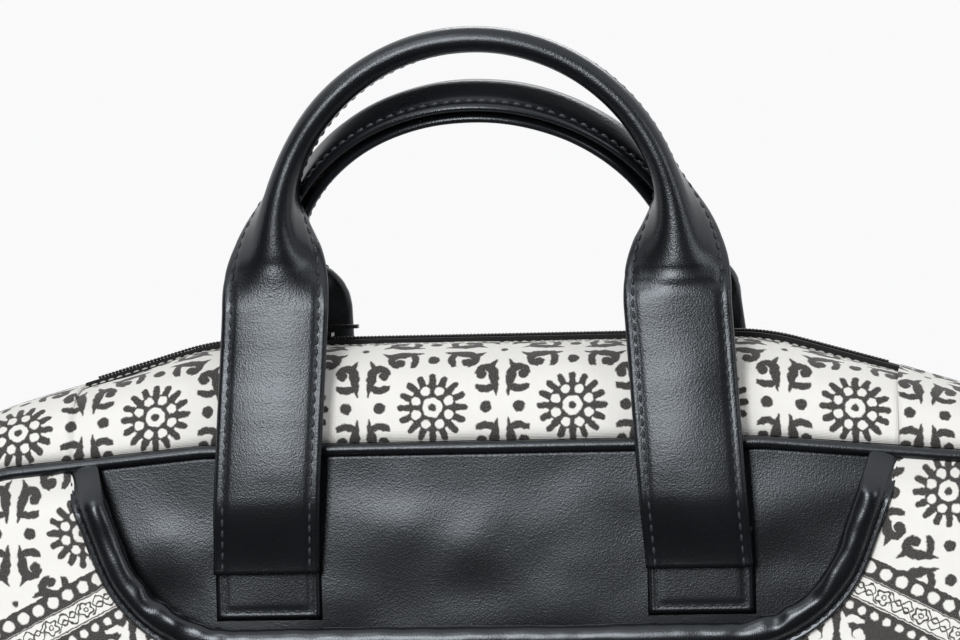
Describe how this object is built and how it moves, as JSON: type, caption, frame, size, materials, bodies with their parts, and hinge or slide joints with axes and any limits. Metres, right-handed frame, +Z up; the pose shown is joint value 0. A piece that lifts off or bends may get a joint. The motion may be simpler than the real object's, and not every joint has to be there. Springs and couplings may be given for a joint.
{
  "type": "laptop bag",
  "caption": "Soft printed-canvas laptop bag with black leatherette handles, piping and scooped front pocket, closed by a zip along its crown; it carries a laptop and papers.",
  "frame": {"origin": "middle of the flat base, on the surface the bag stands on", "axes": "+Z up through the handles, the front with the scooped pocket faces -Y, +X to the right seen from the front"},
  "size_m": [0.418, 0.1018, 0.4385],
  "materials": {
    "leatherette": "satin black grained leatherette",
    "print_canvas": "off-white canvas with a charcoal print",
    "zip_tape": "black woven tape",
    "zip_coil": "black nylon coil",
    "zip_metal": "black enamel",
    "padding": "lined foam",
    "base_board": "plain board",
    "handle_cord": "twisted cord"
  },
  "bodies": {
    "bag": {"front_panel": "leatherette", "base_panel": "leatherette", "piping_front": "leatherette", "piping_back": "leatherette", "pocket_binding": "leatherette", "front_patch_left": "leatherette", "front_patch_right": "leatherette", "back_patch_left": "leatherette", "back_patch_right": "leatherette", "back_panel": "print_canvas", "side_gusset_left": "print_canvas", "side_gusset_right": "print_canvas", "top_gusset_front": "print_canvas", "top_gusset_back": "print_canvas", "pocket_panel": "print_canvas", "zip_tape_front": "zip_tape", "zip_tape_back": "zip_tape", "zip_coil_front": "zip_coil", "zip_coil_back": "zip_coil", "foam_front": "padding", "foam_back": "padding", "laptop_divider": "padding", "base_board": "base_board"},
    "front_handle": {"front_handle": "leatherette", "front_handle_core": "handle_cord"},
    "back_handle": {"back_handle": "leatherette", "back_handle_core": "handle_cord"},
    "left_slider": {"zip_slider_left": "zip_metal"},
    "right_slider": {"zip_slider_right": "zip_metal"},
    "left_pull": {"zip_pull_left": "zip_metal"},
    "right_pull": {"zip_pull_right": "zip_metal"}
  },
  "joints": [
    {"name": "front_handle_swing", "type": "hinge", "parent": "bag", "child": "front_handle", "pos_m": [0, -0.0431, 0.237], "axis": [1, 0, 0], "range_deg": [0, 85]},
    {"name": "back_handle_swing", "type": "hinge", "parent": "bag", "child": "back_handle", "pos_m": [0, 0.0431, 0.237], "axis": [-1, 0, 0], "range_deg": [0, 85]},
    {"name": "left_slider_travel", "type": "slide", "parent": "bag", "child": "left_slider", "axis": [1, 0, 0], "range_m": [-0.012, 0]},
    {"name": "right_slider_travel", "type": "slide", "parent": "bag", "child": "right_slider", "axis": [1, 0, 0], "range_m": [0, 0.155]},
    {"name": "left_pull_flip", "type": "hinge", "parent": "left_slider", "child": "left_pull", "pos_m": [-0.08, 0, 0.3268], "axis": [0, 1, 0], "range_deg": [0, 95]},
    {"name": "right_pull_flip", "type": "hinge", "parent": "right_slider", "child": "right_pull", "pos_m": [-0.066, 0, 0.3268], "axis": [0, -1, 0], "range_deg": [0, 95]}
  ]
}
